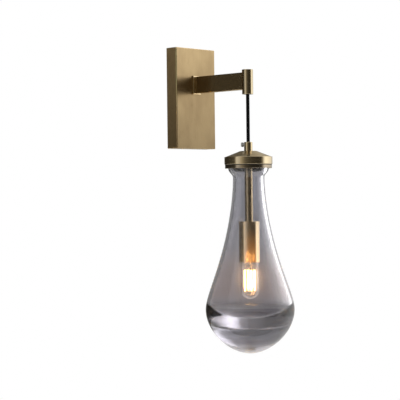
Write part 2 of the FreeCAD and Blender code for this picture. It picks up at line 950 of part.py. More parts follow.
def filament_places():
    first = math.radians(filament_turn)
    turns = [first + 2 * math.pi * k / filament_count for k in range(filament_count)]
    return [(filament_circle * math.cos(t), hang_y + filament_circle * math.sin(t)) for t in turns]


def led_filaments():
    rods = [rod(x, y, filament_bottom, filament_top, filament_radius) for x, y in filament_places()]
    return Part.makeCompound(rods)


def filament_frame():
    # A thin post below the mount, with wires out to both ends of each filament
    low = filament_bottom - frame_wire_radius
    high = filament_top + frame_wire_radius
    frame = rod(0, hang_y, low - frame_tip_drop, mount_bottom, frame_post_radius)
    for x, y in filament_places():
        for level in (low, high):
            start = vec(0, hang_y, level)
            way = vec(x, y, level) - start
            frame = frame.fuse(Part.makeCylinder(frame_wire_radius, filament_circle, start, way))
    return frame.removeSplitter()


nodes = {
    "wall_strap": wall_strap,
    "cover_screws": cover_screws,
    "backplate_cover": backplate_cover,
    "earth_screw": earth_screw,
    "terminal_block": terminal_block,
    "terminal_inserts": terminal_inserts,
    "terminal_screws": terminal_screws,
    "core_live": core_live,
    "core_neutral": core_neutral,
    "core_earth": core_earth,
    "root_plate": root_plate,
    "arm_screws": arm_screws,
    "arm_washers": arm_washers,
    "arm_flange": arm_flange,
    "arm_block": arm_block,
    "arm_tube": arm_tube,
    "post_tube": post_tube,
    "post_plug": post_plug,
    "cord_bush": cord_bush,
    "cord_stop": cord_stop,
    "arm_cord": arm_cord,
    "cord_flex": cord_flex,
    "hanging_cord": hanging_cord,
    "cord_grip": cord_grip,
    "grip_screw": grip_screw,
    "stem_cord": stem_cord,
    "cap_nipple": cap_nipple,
    "cap": cap,
    "cap_washer": cap_washer,
    "cap_nut": cap_nut,
    "stem_tube": stem_tube,
    "stem_nipple": stem_nipple,
    "socket_cup": socket_cup,
    "cup_nut": cup_nut,
    "lamp_holder": lamp_holder,
    "holder_shell": holder_shell,
    "centre_contact": centre_contact,
    "holder_leads": holder_leads,
    "glass_ferrule": glass_ferrule,
    "rim_gasket": rim_gasket,
    "glass_bond": glass_bond,
    "glass_drop": glass_drop,
    "bulb_contact": bulb_contact,
    "bulb_insulator": bulb_insulator,
    "bulb_base": bulb_base,
    "bulb_envelope": bulb_envelope,
    "filament_mount": filament_mount,
    "filament_frame": filament_frame,
    "led_filaments": led_filaments,
}

os.makedirs("parts", exist_ok=True)
for name, make in nodes.items():
    solid = make()
    solid.exportStep("parts/" + name + ".step")
    print(name, len(solid.Solids), round(solid.Volume, 1), solid.isValid())

held = (arm_centre_height - cord_start_height) + (-hang_y - cord_out_of_wall) + (arm_centre_height - stub_end)
print("cord in the arm, corner to corner", held, "bend radii", cord_back_bend, cord_post_bend)
print("free cord", pivot_height - grip_top, "straight")
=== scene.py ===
import math

import bmesh
import bpy
from mathutils import Matrix, Vector


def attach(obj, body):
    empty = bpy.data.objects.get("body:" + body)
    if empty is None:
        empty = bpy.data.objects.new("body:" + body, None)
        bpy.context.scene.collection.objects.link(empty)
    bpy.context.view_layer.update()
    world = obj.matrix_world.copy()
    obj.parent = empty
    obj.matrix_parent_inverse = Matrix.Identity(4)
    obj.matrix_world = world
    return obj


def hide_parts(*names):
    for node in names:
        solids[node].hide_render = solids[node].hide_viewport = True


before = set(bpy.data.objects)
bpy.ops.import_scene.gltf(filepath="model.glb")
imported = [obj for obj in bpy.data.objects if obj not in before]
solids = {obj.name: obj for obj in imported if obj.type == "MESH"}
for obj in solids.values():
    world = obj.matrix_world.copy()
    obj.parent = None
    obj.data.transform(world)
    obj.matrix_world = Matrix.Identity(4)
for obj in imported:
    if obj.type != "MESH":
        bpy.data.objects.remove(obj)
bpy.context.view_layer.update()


# The view. The lamp is seen from its left front, a little under two metres away and
# almost level, through a long lens.
HANG_Y = -0.121
view_turn = math.radians(46.0)
view_drop = math.radians(0.35)
view_roll = math.radians(-0.67)
view_distance = 1.9526
view_right_of_axis = 0.01823
view_middle_height = -0.14773
lens_length = 119.47

toward_view = Vector((
    -math.sin(view_turn) * math.cos(view_drop),
    -math.cos(view_turn) * math.cos(view_drop),
    math.sin(view_drop),
))
level_right = Vector((math.cos(view_turn), -math.sin(view_turn), 0))
level_up = level_right.cross(-toward_view)
view_right = level_right * math.cos(view_roll) + level_up * math.sin(view_roll)
view_up = level_up * math.cos(view_roll) - level_right * math.sin(view_roll)
view_target = view_right * view_right_of_axis + Vector((0, 0, view_middle_height))

collection = bpy.context.scene.collection
eye = bpy.data.cameras.new("view")
eye.lens = lens_length
eye.sensor_width = 36
eye_stand = bpy.data.objects.new("view", eye)
collection.objects.link(eye_stand)
axes = Matrix((view_right, view_up, toward_view)).transposed().to_4x4()
eye_stand.matrix_world = Matrix.Translation(view_target + toward_view * view_distance) @ axes
bpy.context.scene.camera = eye_stand
bpy.context.scene.view_settings.view_transform = "Standard"


# The room. A pale floor far below the lamp, soft panels at its right, at its left front and
# overhead, and a white backdrop. What the brass mirrors and what is seen through the glass
# are two rings of upright bands of light, as strips and flags beside a studio table give.
class Nodes:
    """A node tree, with short ways to add and link its nodes."""

    def __init__(self, tree):
        self.tree = tree

    def feed(self, socket, value):
        if isinstance(value, bpy.types.NodeSocket):
            self.tree.links.new(value, socket)
        else:
            socket.default_value = value

    def node(self, kind, settings=None, **inputs):
        made = self.tree.nodes.new(kind)
        for key, value in (settings or {}).items():
            setattr(made, key, value)
        for key, value in inputs.items():
            self.feed(made.inputs[key.replace("_", " ")], value)
        return made

    def sums(self, operation, first, second=0.0, third=0.0):
        made = self.node("ShaderNodeMath", {"operation": operation})
        for socket, value in zip(made.inputs, (first, second, third)):
            self.feed(socket, value)
        return made.outputs[0]

    def product(self, first, *others):
        for other in others:
            first = self.sums("MULTIPLY", first, other)
        return first

    def rest_of(self, share):
        return self.sums("SUBTRACT", 1.0, share)

    def at_least(self, count, least):
        """One where a whole number is at least so large, and nought elsewhere."""
        return self.sums("GREATER_THAN", count, least - 0.5)

    def spread(self, value, low, high, start=0.0, end=1.0):
        """A smooth step from start to end while the value goes from low to high."""
        made = self.node("ShaderNodeMapRange", {"interpolation_type": "SMOOTHSTEP"}, Value=value,
                         From_Min=low, From_Max=high, To_Min=start, To_Max=end)
        return made.outputs[0]

    def blend(self, share, first, second):
        made = self.node("ShaderNodeMix", {"data_type": "RGBA"})
        for socket, value in ((made.inputs[0], share), (made.inputs[6], first), (made.inputs[7], second)):
            self.feed(socket, value)
        return made.outputs[2]

    def parts(self, vector):
        return self.node("ShaderNodeSeparateXYZ", Vector=vector).outputs

    def ray(self):
        return self.node("ShaderNodeLightPath").outputs

    def off_brass(self):
        """One for light that was mirrored in the open or deep inside the glass, and nought for the rest."""
        ray = self.ray()
        in_the_open = self.rest_of(self.at_least(ray["Transmission Depth"], 1))
        deep_inside = self.at_least(ray["Transmission Depth"], deep_in_glass)
        return self.product(self.at_least(ray["Glossy Depth"], 1), self.sums("ADD", in_the_open, deep_inside))


class Finish(Nodes):
    """One material, built from patterns in the piece's own coordinates."""

    def __init__(self, name):
        self.material = bpy.data.materials.new(name)
        self.material.use_nodes = True
        super().__init__(self.material.node_tree)
        self.shader = self.tree.nodes["Principled BSDF"]
        self.output = self.tree.nodes["Material Output"]
        self.place = self.node("ShaderNodeTexCoord").outputs["Object"]

    def height(self):
        return self.parts(self.place)["Z"]

    def zone(self, begins, ends):
        """One between two heights and nought outside them, with soft edges."""
        return self.product(self.spread(self.height(), *begins), self.spread(self.height(), *ends))

    def grain(self, stretch, detail=3.0, rough=0.55):
        scaled = self.node("ShaderNodeMapping", Vector=self.place, Scale=stretch).outputs[0]
        return self.node("ShaderNodeTexNoise", Vector=scaled, Scale=1.0, Detail=detail, Roughness=rough).outputs["Fac"]

    def relief(self, height, depth, strength=1.0):
        return self.node("ShaderNodeBump", Height=height, Distance=depth, Strength=strength).outputs[0]

    def set(self, **values):
        for key, value in values.items():
            self.feed(self.shader.inputs[key.replace("_", " ")], value)

    def mixed(self, share, first, second):
        made = self.node("ShaderNodeMixShader")
        for socket, value in zip(made.inputs, (share, first, second)):
            self.feed(socket, value)
        return made.outputs[0]

    def lets_lamps_through(self, surface, tint):
        """The surface as it is, but clear to the light of the lamps, so that glass throws no black shadow."""
        clear = self.node("ShaderNodeBsdfTransparent", Color=tint).outputs[0]
        self.feed(self.output.inputs["Surface"], self.mixed(self.ray()["Is Shadow Ray"], surface, clear))


def rgb(red, green, blue):
    return (red, green, blue, 1.0)


deep_in_glass = 4
floor_drop = -1.3
floor_half = 3.0
floor_glow_in_view = 0.7
floor_mesh = bpy.data.meshes.new("floor")
corners = [(-floor_half, -floor_half), (floor_half, -floor_half), (floor_half, floor_half), (-floor_half, floor_half)]
floor_mesh.from_pydata([(x, y, floor_drop) for x, y in corners], [], [(0, 1, 2, 3)])
floor = bpy.data.objects.new("floor", floor_mesh)
collection.objects.link(floor)
pale = Finish("pale_floor")
pale.set(
    Base_Color=pale.blend(pale.grain((3, 3, 3)), rgb(0.80, 0.80, 0.79), rgb(0.84, 0.84, 0.83)),
    Roughness=0.6,
    Emission_Color=rgb(1, 1, 1),
    Emission_Strength=pale.product(pale.ray()["Is Camera Ray"], floor_glow_in_view),
)
floor_mesh.materials.append(pale.material)

room = bpy.data.worlds.new("room")
bpy.context.scene.world = room
room.use_nodes = True
room.node_tree.nodes.clear()
sky = Nodes(room.node_tree)
sky_way = sky.node("ShaderNodeTexCoord").outputs["Generated"]


def along(way):
    """How far a direction of the room points along a given one."""
    made = sky.node("ShaderNodeVectorMath", {"operation": "DOT_PRODUCT"})
    sky.feed(made.inputs[0], sky_way)
    made.inputs[1].default_value = way
    return made.outputs["Value"]


def glow_round(way, low, high, least, most):
    """Light that comes from round one direction and falls off smoothly away from it."""
    return sky.spread(along(way), low, high, least, most)


def bands(stops, middle, top):
    """Upright bands of light round the lamp, each at its angle from a middle direction, in degrees."""
    turn = sky.sums("ARCTAN2", along(right_way), along(middle))
    ramp = sky.node("ShaderNodeValToRGB", Fac=sky.sums("ADD", sky.product(turn, 0.5 / math.pi), 0.5))
    marks = ramp.color_ramp.elements
    while len(marks) < len(stops):
        marks.new(0.5)
    for mark, (degrees, level) in zip(marks, stops):
        mark.position = degrees / 360 + 0.5
        mark.color = (level / top, level / top, level / top, 1)
    return sky.product(ramp.outputs[0], top)


front_way = Vector((toward_view.x, toward_view.y, 0)).normalized()
right_way = Vector((-front_way.y, front_way.x, 0))
up_way = (0, 0, 1)
high_right_way = right_way * 0.89 + Vector((0, 0, 0.456))
inner_mirror_gain = 1.10
light_on_dull_faces = 0.35
warm_below = 0.5
warm_tint = rgb(1.0, 0.92, 0.76)
mirrored_bands = (
    (-180, 0.16), (-165, 0.10), (-150, 0.035), (-120, 0.035), (-95, 0.055), (-76, 0.075), (-69, 0.12), (-64, 0.70),
    (-60, 0.80), (-50, 0.62), (-40, 0.46), (-30, 0.30), (-18, 0.13), (0, 0.07), (20, 0.045), (50, 0.035), (60, 0.05),
    (68, 0.18), (74, 0.60), (81, 1.2), (90, 1.45), (110, 1.25), (130, 1.05), (148, 0.68), (165, 0.58), (175, 0.30),
)
bands_behind_glass = (
    (-180, 0.35), (-93, 0.34), (-77, 0.27), (-60, 0.24), (-50, 0.27), (-35, 0.31), (-20, 0.42), (-10, 0.50),
    (-6, 0.49), (0, 0.46), (4, 0.47), (8, 0.54), (12, 0.74), (20, 0.78), (27, 0.98), (34, 2.25), (42, 3.7), (54, 4.3),
    (60, 4.0), (66, 3.0), (75, 1.7), (82, 0.9), (95, 0.2), (130, 0.22),
)
ray = sky.ray()
bounced = sky.off_brass()
straight = sky.product(ray["Is Transmission Ray"], sky.rest_of(bounced))
through = sky.product(straight, bands(bands_behind_glass, -front_way, top=5.0),
                      glow_round(up_way, low=-0.32, high=-0.05, least=0.72, most=1.0))
through = sky.sums("ADD", through, sky.product(
    glow_round(high_right_way, low=0.80, high=0.96, least=0.0, most=1.5), straight))
deep = sky.at_least(ray["Transmission Depth"], deep_in_glass)
gain = sky.product(bounced, sky.sums("ADD", 1.0, sky.product(deep, inner_mirror_gain)))
mirrored = sky.product(bands(mirrored_bands, front_way, top=2.0), gain)
mirrored = sky.sums("ADD", mirrored, sky.product(
    glow_round(up_way, low=0.72, high=0.95, least=0.0, most=1.2), bounced))
faint = sky.product(ray["Is Diffuse Ray"], light_on_dull_faces)
shine = sky.sums("ADD", sky.sums("ADD", through, mirrored), faint)
strength = sky.sums("MAXIMUM", ray["Is Camera Ray"], shine)
warm = sky.product(bounced, sky.sums("LESS_THAN", strength, warm_below))
backdrop = sky.node("ShaderNodeBackground", Color=sky.blend(warm, rgb(1, 1, 1), warm_tint), Strength=strength)
sky.node("ShaderNodeOutputWorld", Surface=backdrop.outputs[0])

watts_for_glow = 4


def soft_panel(name, place, facing, size, glow, in_glass=False):
    """A rectangular studio lamp whose face has the same brightness all over."""
    lamp = bpy.data.lights.new(name, "AREA")
    lamp.shape = "RECTANGLE"
    lamp.size, lamp.size_y = size
    lamp.energy = watts_for_glow * size[0] * size[1] * glow
    stand = bpy.data.objects.new(name, lamp)
    collection.objects.link(stand)
    stand.rotation_euler = (Vector(facing) - Vector(place)).to_track_quat("-Z", "Y").to_euler()
    stand.location = place
    stand.visible_camera = False
    stand.visible_glossy = False
    stand.visible_transmission = in_glass
    lamp.use_nodes = True
    face = Nodes(lamp.node_tree)
    face.feed(lamp.node_tree.nodes["Emission"].inputs["Strength"], face.rest_of(face.off_brass()))


for name, degrees, distance, height, size, glow, in_glass in (
    ("right_panel", -31.5, 1.2, 0.05, (1.65, 1.7), 1.25, False),
    ("left_panel", 175, 1.3, -0.47, (0.26, 1.05), 0.95, True),
    ("left_middle_panel", 187, 1.32, -0.47, (0.30, 1.05), 0.55, True),
    ("front_left_panel", 204, 1.35, -0.2, (0.50, 1.4), 0.22, True),
):
    turn = math.radians(degrees)
    place = (distance * math.cos(turn), HANG_Y + distance * math.sin(turn), height)
    soft_panel(name, place, (0, HANG_Y, height), size, glow, in_glass)
soft_panel("top_panel", (0.0, -0.3, 1.3), (0, HANG_Y, -0.05), (1.3, 1.3), 0.9)


# The free cord. A black round braided lead, pulled straight by the pendant's weight between
# the post's mouth and the grip, so it is one straight run.
def add_piece(name, data, body):
    piece = bpy.data.objects.new(name, data)
    collection.objects.link(piece)
    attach(piece, body)
    return piece


def wear(finish, *names):
    """Gives CAD solids a finish."""
    for name in names:
        for slot in solids[name].material_slots:
            slot.material = finish.material


cord_diameter = 0.0049
cord_length = 0.0682
cord_top = 0.0015
cord_line = bpy.data.curves.new("free_cord", "CURVE")
cord_line.dimensions = "3D"
cord_line.bevel_depth = 1.0
cord_line.bevel_resolution = 12
cord_line.use_fill_caps = True
cord_run = cord_line.splines.new("NURBS")
cord_points = [(0, HANG_Y, cord_top), (0, HANG_Y, cord_top - cord_length)]
cord_run.points.add(len(cord_points) - 1)
for point, (x, y, z) in zip(cord_run.points, cord_points):
    point.co = (x, y, z, 1)
    point.radius = cord_diameter / 2
cord_run.order_u = 3
cord_run.use_endpoint_u = True
free_cord = add_piece("free_cord", cord_line, "cord")
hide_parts("hanging_cord", "cord_flex")

braid_strands = 8.0
braid_climb = 2200.0
braid = Finish("black_braid")
braid_place = braid.parts(braid.place)
turned = braid.sums("ARCTAN2", braid.sums("SUBTRACT", braid_place["Y"], HANG_Y), braid_place["X"])
climb = braid.product(braid_place["Z"], braid_climb)
strands = braid.product(turned, braid_strands)
weave = braid.sums("MAXIMUM", braid.sums("SINE", braid.sums("ADD", climb, strands)),
                   braid.sums("SINE", braid.sums("SUBTRACT", climb, strands)))
braid.set(
    Base_Color=braid.blend(braid.spread(weave, -0.4, 1.0), rgb(0.002, 0.002, 0.002), rgb(0.008, 0.008, 0.008)),
    Roughness=braid.spread(braid.grain((900, 900, 900)), 0.2, 0.8, 0.45, 0.62),
    Specular_IOR_Level=0.05,
    Normal=braid.relief(weave, depth=0.00012, strength=0.5),
)
cord_line.materials.append(braid.material)
wear(braid, "hanging_cord", "cord_flex", "arm_cord", "stem_cord")


# The backplate. A folded brass box, brushed up and down on its front and lacquered, open
# to the wall and held to the strap by two small grub screws. Its sides, its top and its bends are
# painted lighter, as painted light, with a painted highlight along the bends.
def aged_brass(name, light, dark, rough, brush):
    """Satin brass with an aged lacquer, brushed along the smallest of the three brush scales."""
    brass = Finish(name)
    lines = brass.grain(brush, detail=4.0, rough=0.7)
    clouds = brass.grain((28, 28, 14), detail=5.0)
    stains = brass.grain((160, 160, 90), detail=4.0, rough=0.6)
    shade = brass.sums("ADD", brass.spread(clouds, 0.30, 0.72, 0.0, 0.55), brass.spread(lines, 0.3, 0.7, 0.0, 0.30))
    shade = brass.sums("ADD", shade, brass.spread(stains, 0.55, 0.80, 0.0, 0.25))
    gloss = brass.sums("ADD", brass.spread(lines, 0.25, 0.75, rough - 0.03, rough + 0.04),
                       brass.spread(clouds, 0.3, 0.7, -0.02, 0.03))
    brass.tint = brass.blend(shade, light, dark)
    brass.set(Base_Color=brass.tint, Metallic=1.0, Roughness=gloss,
              Normal=brass.relief(lines, depth=0.000004, strength=0.6))
    return brass


painted_side_light_gain = 1.75
painted_bend_highlight_gain = 1.7
painted_top_light_per_metre = 4.0
painted_top_light_at_middle = 1.03
plate = aged_brass("brushed_plate_brass", light=rgb(0.42, 0.31, 0.165), dark=rgb(0.30, 0.21, 0.108), rough=0.33,
                   brush=(2600, 2600, 26))
facing = plate.parts(plate.node("ShaderNodeTexCoord").outputs["Normal"])
# The plate's sides are painted lighter, as painted light.
painted_side_light = plate.spread(plate.sums("ABSOLUTE", facing["X"]), 0.6, 0.95, 1.0, painted_side_light_gain)
ahead = plate.sums("ABSOLUTE", facing["Y"])
# The folds between front and sides are painted lighter, as a painted highlight.
painted_bend_highlight = plate.product(plate.spread(ahead, 0.03, 0.25, 1.0, painted_bend_highlight_gain), plate.spread(ahead, 0.99, 0.93))
# The plate is painted lighter towards its top, as painted light.
painted_top_light = plate.sums("MULTIPLY_ADD", plate.height(), painted_top_light_per_metre, painted_top_light_at_middle)
painted_light_scale = plate.node("ShaderNodeVectorMath", {"operation": "SCALE"},
                  Scale=plate.product(painted_top_light, plate.sums("MAXIMUM", painted_bend_highlight, 1.0), painted_side_light))
plate.feed(painted_light_scale.inputs[0], plate.tint)
plate.set(Base_Color=painted_light_scale.outputs[0], Anisotropic=0.35,
          Tangent=plate.node("ShaderNodeTangent", {"direction_type": "RADIAL", "axis": "Z"}).outputs[0])
wear(plate, "backplate_cover")


# The grub screws of the cover. Two small socket screws, turned from brass and stained
# like it, under the cover's edges.
screw_brass = aged_brass("stained_screw_brass", light=rgb(0.46, 0.34, 0.20), dark=rgb(0.24, 0.17, 0.10), rough=0.30,
                         brush=(900, 900, 900))
wear(screw_brass, "cover_screws")


# The strap, the root plate and the plain fasteners inside. Zinc-plated steel, bent or
# stamped, with the plating's fine spangle.
zinc = Finish("zinc_plate")
spangle = zinc.node("ShaderNodeTexVoronoi", Vector=zinc.place, Scale=420.0).outputs["Color"]
spangle_grey = zinc.node("ShaderNodeSeparateColor", Color=spangle).outputs[0]
scuff = zinc.grain((300, 300, 40), detail=5.0)
zinc_tone = zinc.sums("ADD", zinc.product(spangle_grey, 0.5), zinc.product(scuff, 0.5))
zinc.set(
    Base_Color=zinc.blend(zinc_tone, rgb(0.50, 0.51, 0.53), rgb(0.70, 0.70, 0.70)),
    Metallic=1.0,
    Roughness=zinc.spread(zinc_tone, 0.2, 0.8, 0.30, 0.48),
    Normal=zinc.relief(scuff, depth=0.00001, strength=0.4),
)
wear(zinc, "wall_strap", "earth_screw", "terminal_screws", "root_plate", "arm_screws", "arm_washers", "cord_stop",
     "cap_nipple", "cap_washer", "cap_nut", "stem_nipple", "cup_nut")


# The terminal block. White moulded nylon over three brass poles, with the three cores of
# the lead in brown, blue, and green and yellow.
def moulded(name, light, dark, rough, **more):
    """Moulded plastic with a faint spark-eroded texture."""
    plastic = Finish(name)
    skin = plastic.grain((1800, 1800, 1800), detail=2.0)
    plastic.set(
        Base_Color=plastic.blend(plastic.grain((60, 60, 60)), light, dark),
        Roughness=plastic.spread(skin, 0.3, 0.7, rough - 0.04, rough + 0.05),
        Normal=plastic.relief(skin, depth=0.000015, strength=0.4),
        **more,
    )
    return plastic


wear(moulded("white_nylon_block", rgb(0.80, 0.79, 0.74), rgb(0.70, 0.69, 0.64), rough=0.42), "terminal_block")
bright_brass = aged_brass("plain_bright_brass", light=rgb(0.83, 0.64, 0.32), dark=rgb(0.60, 0.44, 0.20), rough=0.24,
                          brush=(700, 700, 700))
wear(bright_brass, "terminal_inserts", "arm_block", "holder_shell", "centre_contact")
wear(moulded("brown_core", rgb(0.17, 0.075, 0.035), rgb(0.12, 0.05, 0.025), rough=0.34), "core_live", "holder_leads")
wear(moulded("blue_core", rgb(0.04, 0.13, 0.45), rgb(0.03, 0.09, 0.34), rough=0.34), "core_neutral")

stripe_climb = 900.0
stripe_cross = 1600.0
earth = Finish("green_and_yellow_core")
earth_place = earth.parts(earth.place)
stripe = earth.sums("SINE", earth.sums("ADD", earth.product(earth_place["Z"], stripe_climb),
                                       earth.product(earth_place["X"], stripe_cross)))
earth_skin = earth.grain((1200, 1200, 1200))
earth.set(
    Base_Color=earth.blend(earth.spread(stripe, -0.1, 0.1), rgb(0.05, 0.28, 0.06), rgb(0.72, 0.62, 0.06)),
    Roughness=earth.spread(earth_skin, 0.3, 0.7, 0.30, 0.40),
    Normal=earth.relief(earth_skin, depth=0.00001, strength=0.4),
)
wear(earth, "core_earth")


# The arm and its post. A flat rectangular brass tube with a collar at its root, coped onto
# a round post with a pressed cap, all in a darker stained brass, with a black bush inside.
arm_brass = aged_brass("dark_arm_brass", light=rgb(0.62, 0.47, 0.27), dark=rgb(0.44, 0.32, 0.17), rough=0.20,
                       brush=(1400, 18, 1400))
wear(arm_brass, "arm_tube")
# The collar's brass is painted lighter than the arm tube's, as painted light.
painted_light_flange_brass = aged_brass("arm_flange_brass_painted_light", light=rgb(0.95, 0.76, 0.47), dark=rgb(0.72, 0.55, 0.31), rough=0.24,
                          brush=(1400, 1400, 18))
wear(painted_light_flange_brass, "arm_flange")
post_brass = aged_brass("dark_post_brass", light=rgb(0.78, 0.66, 0.44), dark=rgb(0.62, 0.50, 0.31), rough=0.13,
                        brush=(30, 30, 2200))
wear(post_brass, "post_tube", "post_plug")
black_moulding = moulded("black_moulding", rgb(0.018, 0.018, 0.018), rgb(0.030, 0.029, 0.028), rough=0.38)
wear(black_moulding, "cord_bush", "lamp_holder")


# The cord grip. A small turned brass barrel that screws on the cap's nipple, with a clear
# nylon thumb screw through its side that clamps the cord, and a ribbed edge on its head.
def repeat_tree():
    """A node tree that sets one small shape out along a line, each turned a little further."""
    tree = bpy.data.node_groups.new("repeat_along", "GeometryNodeTree")
    for label, kind in (("Shape", "Geometry"), ("Count", "Int"), ("Start", "Vector"), ("Step", "Vector"),
                        ("Turn", "Float"), ("Finish", "Material")):
        tree.interface.new_socket(name=label, in_out="INPUT", socket_type="NodeSocket" + kind)
    tree.interface.new_socket(name="Shape", in_out="OUTPUT", socket_type="NodeSocketGeometry")
    given = tree.nodes.new("NodeGroupInput").outputs
    places = tree.nodes.new("GeometryNodeMeshLine")
    places.mode = "OFFSET"
    turn = tree.nodes.new("ShaderNodeMath")
    turn.operation = "MULTIPLY"
    angles = tree.nodes.new("ShaderNodeCombineXYZ")
    rotation = tree.nodes.new("FunctionNodeEulerToRotation")
    copies = tree.nodes.new("GeometryNodeInstanceOnPoints")
    solid = tree.nodes.new("GeometryNodeRealizeInstances")
    painted = tree.nodes.new("GeometryNodeSetMaterial")
    index = tree.nodes.new("GeometryNodeInputIndex")
    result = tree.nodes.new("NodeGroupOutput")
    for source, target in (
        (given["Count"], places.inputs["Count"]),
        (given["Start"], places.inputs["Start Location"]),
        (given["Step"], places.inputs["Offset"]),
        (index.outputs[0], turn.inputs[0]),
        (given["Turn"], turn.inputs[1]),
        (turn.outputs[0], angles.inputs["Z"]),
        (angles.outputs[0], rotation.inputs[0]),
        (places.outputs[0], copies.inputs["Points"]),
        (given["Shape"], copies.inputs["Instance"]),
        (rotation.outputs[0], copies.inputs["Rotation"]),
        (copies.outputs[0], solid.inputs[0]),
        (solid.outputs[0], painted.inputs["Geometry"]),
        (given["Finish"], painted.inputs["Material"]),
        (painted.outputs[0], result.inputs[0]),
    ):
        tree.links.new(source, target)
    return tree


repeating = repeat_tree()


def repeated(shape, finish, count, start, step, turn=0.0):
    """The mesh of a small shape repeated along a line."""
    holder = bpy.data.objects.new("repeat_source", shape)
    collection.objects.link(holder)
    maker = holder.modifiers.new("repeat", "NODES")
    maker.node_group = repeating
    values = {"Count": count, "Start": start, "Step": step, "Turn": turn, "Finish": finish.material}
    for socket in repeating.interface.items_tree:
        if socket.in_out == "INPUT" and socket.name in values:
            maker[socket.identifier] = values[socket.name]
    ready = holder.evaluated_get(bpy.context.evaluated_depsgraph_get())
    mesh = bpy.data.meshes.new_from_object(ready)
    holder.modifiers.remove(maker)
    bpy.data.objects.remove(holder)
    return mesh


def small_ball(radius, height, sides, rings):
    """A ball of a given radius and height round the origin, in millimetres."""
    work = bmesh.new()
    bmesh.ops.create_uvsphere(work, u_segments=sides, v_segments=rings, radius=0.001)
    for vert in work.verts:
        vert.co = (vert.co.x * radius, vert.co.y * radius, vert.co.z * height / 2)
    for face in work.faces:
        face.smooth = True
    mesh = bpy.data.meshes.new("small_ball")
    work.to_mesh(mesh)
    work.free()
    return mesh


grip_brass = aged_brass("turned_grip_brass", light=rgb(0.80, 0.66, 0.42), dark=rgb(0.62, 0.48, 0.28), rough=0.12,
                        brush=(30, 30, 2600))
wear(grip_brass, "cord_grip")
clear_nylon = moulded("clear_nylon_screw", rgb(0.86, 0.86, 0.84), rgb(0.78, 0.78, 0.75), rough=0.20,
                      Transmission_Weight=0.7, IOR=1.52)
wear(clear_nylon, "grip_screw")

knurl_count = 16
knurl_circle = 0.0028
thumb_turn = math.radians(134.0)
thumb_height = -0.0703
thumb_head_middle = 0.0082
knurl_ridge = small_ball(radius=0.42, height=3.2, sides=8, rings=8)
for vert in knurl_ridge.vertices:
    vert.co.x += knurl_circle
knurl = repeated(knurl_ridge, clear_nylon, knurl_count, (0, 0, 0), (0, 0, 0), 2 * math.pi / knurl_count)
thumb_way = Vector((math.cos(thumb_turn), math.sin(thumb_turn), 0))
thumb_seat = Vector((0, HANG_Y, thumb_height)) + thumb_way * thumb_head_middle
knurl.transform(Matrix.Translation(thumb_seat) @ thumb_way.to_track_quat("Z", "Y").to_matrix().to_4x4())
knurl_piece = add_piece("thumb_screw_knurl", knurl, "thumb_screw")


# The cap. A spun brass cone with a straight rim, which takes the glass's ferrule in its
# thread. A nut and washer clamp it to the nipple.
cap_brass = aged_brass("spun_cap_brass", light=rgb(0.78, 0.65, 0.43), dark=rgb(0.62, 0.49, 0.30), rough=0.16,
                       brush=(24, 24, 1700))
wear(cap_brass, "cap")


# The ferrule. A turned brass ring bonded round the glass's lip, with a black sealing ring
# between it and the cap. Its brass is painted darker than the cap's, as painted shade under the cap's rim.
painted_shade_ferrule_brass = aged_brass("turned_ferrule_brass_painted_shade", light=rgb(0.44, 0.365, 0.265), dark=rgb(0.34, 0.28, 0.20),
                           rough=0.15, brush=(24, 24, 1700))
wear(painted_shade_ferrule_brass, "glass_ferrule")
wear(moulded("black_seal", rgb(0.012, 0.012, 0.012), rgb(0.022, 0.022, 0.022), rough=0.6), "rim_gasket")
wear(moulded("grey_bond", rgb(0.42, 0.40, 0.38), rgb(0.36, 0.35, 0.33), rough=0.35), "glass_bond")


# The stem and the socket cup. A thin brass tube hangs from the cap's nut and carries a
# drawn brass cup that hides the lamp holder. A warm glow of the bulb's light is painted on the cup's front as
# emission.
stem_brass = aged_brass("satin_stem_brass", light=rgb(0.56, 0.45, 0.29), dark=rgb(0.42, 0.32, 0.18), rough=0.24,
                        brush=(1800, 1800, 20))
wear(stem_brass, "stem_tube")
cup_brass = aged_brass("satin_cup_brass", light=rgb(0.88, 0.70, 0.45), dark=rgb(0.70, 0.53, 0.32), rough=0.17,
                       brush=(22, 22, 1900))
# The bulb's glow is painted on the cup as orange emission, low on its front.
painted_glow_way = (-0.42, -0.91)
painted_glow_reach = (0.0085, 0.0135)
painted_glow_heights = (-0.184, -0.236)
painted_glow_strength = 0.45
cup_place = cup_brass.parts(cup_brass.place)
cup_depth = cup_brass.sums("SUBTRACT", cup_place["Y"], HANG_Y)
painted_glow_facing = cup_brass.sums("MULTIPLY_ADD", cup_place["X"], painted_glow_way[0], cup_brass.product(cup_depth, painted_glow_way[1]))
painted_bulb_glow = cup_brass.product(cup_brass.spread(painted_glow_facing, *painted_glow_reach),
                             cup_brass.spread(cup_place["Z"], *painted_glow_heights), painted_glow_strength)
cup_brass.set(Emission_Color=rgb(1.0, 0.36, 0.05), Emission_Strength=painted_bulb_glow)
wear(cup_brass, "socket_cup")


